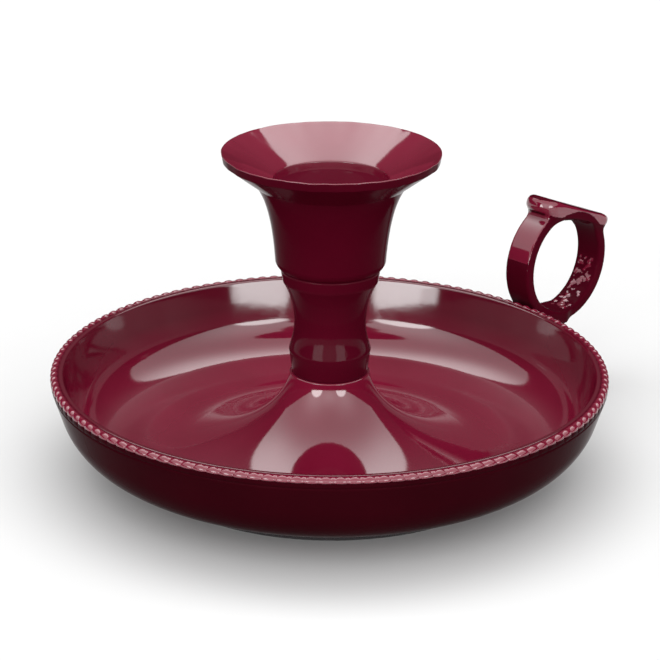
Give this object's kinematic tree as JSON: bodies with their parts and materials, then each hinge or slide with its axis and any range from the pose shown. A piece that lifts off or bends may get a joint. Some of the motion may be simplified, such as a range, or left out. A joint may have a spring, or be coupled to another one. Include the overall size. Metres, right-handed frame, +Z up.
{
  "type": "chamberstick",
  "caption": "Chamberstick: round drip dish with a beaded rim, waisted stem, wide-flanged candle socket and a ring-shaped finger loop with a thumb plate, in dark red enamel.",
  "frame": {"origin": "on the dish's axis at the level of the table, the underside of the felt ring", "axes": "+Z up along the candle's axis, +X from the dish's axis towards the finger loop"},
  "size_m": [0.187, 0.15, 0.0883],
  "materials": {
    "enamel": "high gloss burgundy enamel",
    "steel": "zinc plated",
    "felt": "dark wool felt"
  },
  "bodies": {
    "root": {"dish": "enamel", "beaded_rim": "enamel", "stem": "enamel", "candle_socket": "enamel", "finger_loop": "enamel", "tie_rod": "steel", "flat_washer": "steel", "spring_washer": "steel", "hex_nut": "steel", "base_felt": "felt"}
  },
  "joints": []
}
